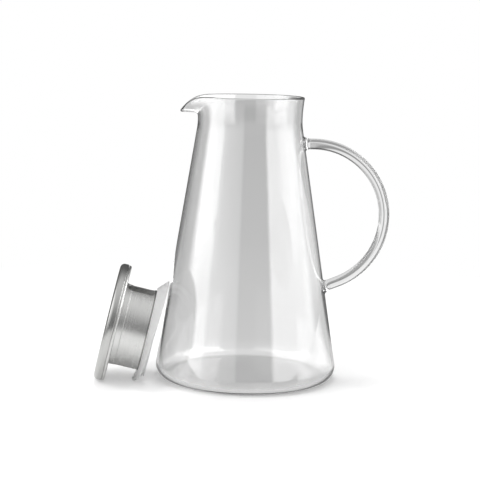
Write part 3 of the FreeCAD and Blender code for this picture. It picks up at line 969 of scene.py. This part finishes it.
# %% Room for mirrored rays
PANELS = [(-180, 0.05), (-160, 0.1), (-150, 0.2), (-135, 0.4), (-122, 0.3), (-108, 0.2), (-90, 5.0),
          (-61, 5.0), (-56, 2.8), (-15, 1.3), (-11, 0), (33, 0), (39, 4.8), (104, 4.8), (115, 1.6),
          (125, 0.85), (135, 0.8), (150, 0.7), (160, 0.05), (180, 0.05)]
PANEL_HEIGHT = [(-1, 0), (-0.55, 0), (-0.45, 0.6), (-0.05, 0.7), (0.1, 1), (0.72, 1), (0.84, 0), (1, 0)]
CEILING = [(-1, 0), (0, 0), (0.4, 0.25), (0.8, 0.75), (1, 0.85)]
CEILING_DEPTH = [(-1, 1), (0.2, 1), (0.7, 0.1), (1, 0.1)]
STEEL_SHARE = [(-1, 0.05), (0.05, 0.05), (0.35, 0.27), (1, 0.27)]
backdrop_grey = 0.60
dim_room = 0.10
world = bpy.data.worlds.new("studio_air")
scene.world = world
world.use_nodes = True
tree = world.node_tree
tree.nodes.clear()
rays = kinds_of_rays(tree)
direction = tree.nodes.new("ShaderNodeTexCoord").outputs["Generated"]
way = add_node(tree, "ShaderNodeSeparateXYZ", {0: direction})
compass = compass_of(tree, way)
rise = way.outputs["Z"]
panels = times(ramp(tree, compass, PANELS), ramp(tree, rise, PANEL_HEIGHT))
ceiling = times(ramp(tree, rise, CEILING), ramp(tree, way.outputs["Y"], CEILING_DEPTH))
open_room = plus(ceiling, dim_room)
glass_room = mixed(tree, rays["Guided"], plus(panels, open_room), backdrop_grey)
steel_room = work("MULTIPLY_ADD", panels, ramp(tree, rise, STEEL_SHARE), open_room)
from_steel = times(rays["Blurred"], rays["Is Glossy Ray"])
room = mixed(tree, from_steel, glass_room, steel_room)
print("room:", len(PANELS), "stops round the compass, dim level", dim_room)

# %% [markdown]
# A straight ray through both walls of the jug meets the pale grey backdrop. A ray through one thin piece
# alone, such as the rod, a weld pad or the spout, is bent hard, and meets bright and dark sheets that
# draw the rod's lines. Inside silicone a blurred ray meets an even, bright level. The camera itself sees
# plain white.

# %% Air
BACKDROP = [(-1, 0.56), (-0.14, 0.56), (-0.05, 0.50), (1, 0.50)]
SHEETS = [(-180, 0.85), (-166, 0.85), (-158, 0.10), (-84, 0.10), (-78, 0.85), (-70, 0.85), (-62, 0.12),
          (-28, 0.12), (-20, 0.85), (20, 0.85), (28, 0.5), (62, 0.5), (70, 0.85), (110, 0.85), (118, 0.55),
          (152, 0.55), (160, 0.85), (171, 0.85), (172.5, 0.3), (176.5, 0.3), (178, 0.85), (180, 0.85)]
SHEET_HEIGHT = [(-1, 0.15), (-0.5, 0.15), (-0.4, 1), (0.4, 1), (0.5, 0.15), (1, 0.15)]
other_rays = 0.45
silicone_glow = 0.95
room_light = 0.62
sheets = times(ramp(tree, compass, SHEETS), ramp(tree, rise, SHEET_HEIGHT))
through = mixed(tree, rays["Thin"], ramp(tree, rise, BACKDROP), sheets)
strength = mixed(tree, rays["Is Transmission Ray"], other_rays, through)
strength = mixed(tree, rays["Mirrored"], strength, room)
inside = times(work("GREATER_THAN", rays["Transmission Depth"], FIRST_SURFACE),
               work("LESS_THAN", rays["Transmission Depth"], FOURTH_SURFACE))
strength = mixed(tree, times(rays["Blurred"], inside), strength, silicone_glow)
strength = mixed(tree, rays["Is Diffuse Ray"], strength, room_light)
strength = mixed(tree, rays["Is Camera Ray"], strength, 1.0)
air = add_node(tree, "ShaderNodeBackground", {"Color": WHITE, "Strength": strength})
add_node(tree, "ShaderNodeOutputWorld", {"Surface": air})
print("air:", len(tree.nodes), "nodes, backdrop", backdrop_grey)

# %% [markdown]
# The table is painted white and gives a little light of its own to the camera, so that it keeps the
# object's shadow and still runs out to the white of the air. Round the lid, which shuts out more light,
# it gives more.

# %% Table as the camera sees it
table_radius = 0.8
table_drop = 0.2 * MM
TABLE_PAINT = (0.86, 0.86, 0.86, 1)
lid_spot = (-0.100, -0.045, 0)
LID_FILL = [(0, 0.31), (0.045, 0.31), (0.085, 0.17), (0.1, 0.17)]
TO_WHITE = [(0, 0), (0.25, 0), (0.6, 1), (1, 1)]
steel_fill = 0.12
silicone_fill = 0.35
white_table = bpy.data.materials.new("white_table")
white_table.use_nodes = True
tree = white_table.node_tree
tree.nodes.clear()
rays = kinds_of_rays(tree)
place = tree.nodes.new("ShaderNodeTexCoord").outputs["Object"]
away = add_node(tree, "ShaderNodeVectorMath", {0: place}, operation="LENGTH").outputs["Value"]
from_lid = add_node(tree, "ShaderNodeVectorMath", {0: place, 1: lid_spot}, operation="DISTANCE")
lid_fill = ramp(tree, from_lid.outputs["Value"], LID_FILL)
own_light = mixed(tree, rays["Is Camera Ray"], steel_fill, lid_fill)
in_silicone = times(rays["Is Transmission Ray"], rays["Blurred"])
own_light = mixed(tree, in_silicone, own_light, silicone_fill)
own_light = mixed(tree, rays["Is Diffuse Ray"], own_light, 0.0)
paint = add_node(tree, "ShaderNodeBsdfDiffuse", {"Color": TABLE_PAINT})
glow = add_node(tree, "ShaderNodeEmission", {"Color": WHITE, "Strength": own_light})
lit = add_node(tree, "ShaderNodeAddShader", {0: paint, 1: glow}).outputs[0]
white = add_node(tree, "ShaderNodeEmission", {"Color": WHITE, "Strength": 1.0}).outputs[0]
to_white = times(ramp(tree, away, TO_WHITE), rays["Is Camera Ray"])
surface = mixed(tree, to_white, lit, white)
print("table: paint", TABLE_PAINT[0], "with a fill of", LID_FILL[-1][1])

# %% [markdown]
# Through the jug the table is the backdrop's grey, a little lighter under the base. Through one thin
# piece it has bands like the sheets, and is dark on the left, which gives the rod its dark outer edge. A
# mirrored ray meets pools of the panels' light on it and, behind the jug, a bright and a dark stretch.

# %% Table as glass shows it
THROUGH_JUG = [(0, 0.76), (0.09, 0.76), (0.15, 0.64), (0.3, 0.62), (0.8, 0.56), (1, 0.56)]
THROUGH_ROD = [(0, 0.7), (0.19, 0.7), (0.23, 0.3), (0.5, 0.3), (0.7, 0.85), (1, 0.85)]
LEFT_SIDE = [(-0.5, 1), (-0.06, 1), (0.0, 0), (0.5, 0)]
left_dark = 0.2
POOLS = [(-180, 0), (-115, 0), (-103, 1.3), (-82, 1.3), (-66, 0), (55, 0), (75, 2.2), (110, 2.2), (125, 0),
         (180, 0)]
POOLS_START = [(0, 0), (0.1, 0), (0.3, 1), (1, 1)]
plain = 0.68
STRETCHES = [(-180, plain), (-174, plain), (-160, 1.8), (-138, 1.8), (-120, plain), (136, plain), (145, 0.1),
             (160, 0.1), (174, plain), (180, plain)]
STRETCHES_START = [(0, 0), (0.14, 0), (0.26, 1), (1, 1)]
spot = add_node(tree, "ShaderNodeSeparateXYZ", {0: place})
compass = compass_of(tree, spot)
left_side = ramp(tree, spot.outputs["X"], LEFT_SIDE)
through_rod = mixed(tree, left_side, ramp(tree, away, THROUGH_ROD), left_dark)
seen = mixed(tree, rays["Thin"], ramp(tree, away, THROUGH_JUG), through_rod)
pools = times(ramp(tree, compass, POOLS), ramp(tree, away, POOLS_START))
stretches = mixed(tree, ramp(tree, away, STRETCHES_START), plain, ramp(tree, compass, STRETCHES))
mirrored = mixed(tree, rays["Guided"], plus(pools, stretches), backdrop_grey)
seen = mixed(tree, rays["Mirrored"], seen, mirrored)
grey = add_node(tree, "ShaderNodeEmission", {"Color": WHITE, "Strength": seen}).outputs[0]
by_glass = times(rays["Is Singular Ray"], minus(1.0, rays["Is Camera Ray"]))
add_node(tree, "ShaderNodeOutputMaterial", {"Surface": mixed(tree, by_glass, surface, grey)})
print("white table:", len(tree.nodes), "nodes")

# %% Table
table_mesh = bpy.data.meshes.new("table")
made = bmesh.new()
bmesh.ops.create_circle(made, cap_ends=True, segments=128, radius=table_radius)
made.to_mesh(table_mesh)
made.free()
table_mesh.materials.append(white_table)
table = bpy.data.objects.new("table", table_mesh)
table.location.z = -table_drop
scene.collection.objects.link(table)
print("table:", round(table.dimensions.x, 2), "m across")

# %% [markdown]
# The lamps light the steel, the silicone and the table and cast the shadows, which fall short because the
# main one hangs almost straight above. They are hidden from mirrored and refracted rays, which meet the
# panels of the room instead.

# %% Lamps
def soft_box(name, azimuth, height, distance, size, strength, aim_height=0.0):
    """Square area lamp at an azimuth from the camera's side, positive to the right, facing the object."""
    lamp = bpy.data.lights.new(name, "AREA")
    lamp.shape = "RECTANGLE"
    lamp.size = size
    lamp.size_y = size
    lamp.energy = strength * math.pi * size * size
    box = bpy.data.objects.new(name, lamp)
    turn = math.radians(azimuth)
    box.location = (math.sin(turn) * distance, -math.cos(turn) * distance, height)
    aim = Vector((0, 0, aim_height)) - box.location
    box.rotation_euler = aim.to_track_quat("-Z", "Y").to_euler()
    box.visible_camera = False
    box.visible_glossy = False
    box.visible_transmission = False
    scene.collection.objects.link(box)
    print(name, "at azimuth", azimuth, "strength", strength)


soft_box("left_box", azimuth=-62, height=0.80, distance=0.95, size=0.7, strength=3.0, aim_height=0.06)
soft_box("right_box", azimuth=35, height=0.80, distance=0.95, size=0.7, strength=1.0, aim_height=0.06)
soft_box("top_box", azimuth=180, height=1.40, distance=0.24, size=0.6, strength=7.0)

# %% [markdown]
# ## Hand over to the frame
# Each piece is tied to the body that carries it and stands for its CAD node, which is hidden.

# %% Ride and replace
for piece, node_name, body, slot in (
        (glass_jug, "glass_jug", "jug", "clear_glass"),
        (glass_handle, "glass_handle", "jug", "clear_glass"),
        (upper_pad, "handle_weld_upper", "jug", "clear_glass"),
        (lower_pad, "handle_weld_lower", "jug", "clear_glass"),
        (lid_cap, "lid_cap", "lid", "brushed_steel"),
        (lid_plate, "lid_underplate", "lid", "brushed_steel"),
        (strainer, "strainer_sleeve", "lid", "brushed_steel"),
        (seal, "silicone_seal", "seal", "clear_silicone")):
    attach(piece, body)
    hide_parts(node_name)

scene.view_settings.view_transform = "Standard"
